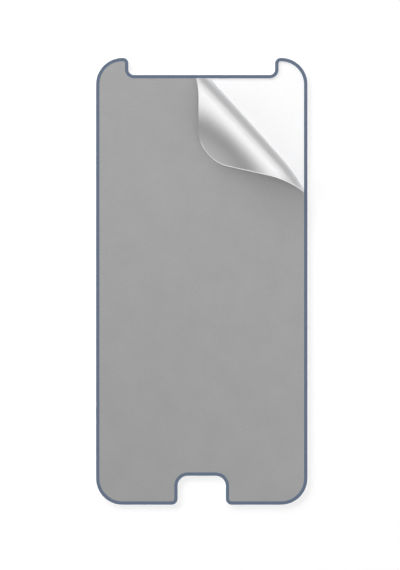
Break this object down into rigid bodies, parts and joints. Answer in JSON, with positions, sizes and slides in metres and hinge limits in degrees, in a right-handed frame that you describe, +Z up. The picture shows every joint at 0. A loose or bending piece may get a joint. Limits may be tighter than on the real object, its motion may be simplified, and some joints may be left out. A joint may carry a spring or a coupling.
{
  "type": "phone screen protector",
  "caption": "Phone screen protector film with an earpiece notch and a home key cut-out, on a white backing sheet with a coloured border, one corner peeled off and curled back.",
  "frame": {"origin": "centre of the outline, on the underside of the backing sheet", "axes": "+Y along the length, towards the earpiece notch; +Z up, out of the film's face; +X to the right seen from above"},
  "size_m": [0.065, 0.1374, 0.0057],
  "materials": {
    "backing": "smooth white release coating",
    "border": "satin slate blue",
    "film": "fine matte grey face, silver underside"
  },
  "bodies": {
    "root": {"backing_sheet": "backing", "border_frame": "border", "screen_film": "film"}
  },
  "joints": []
}
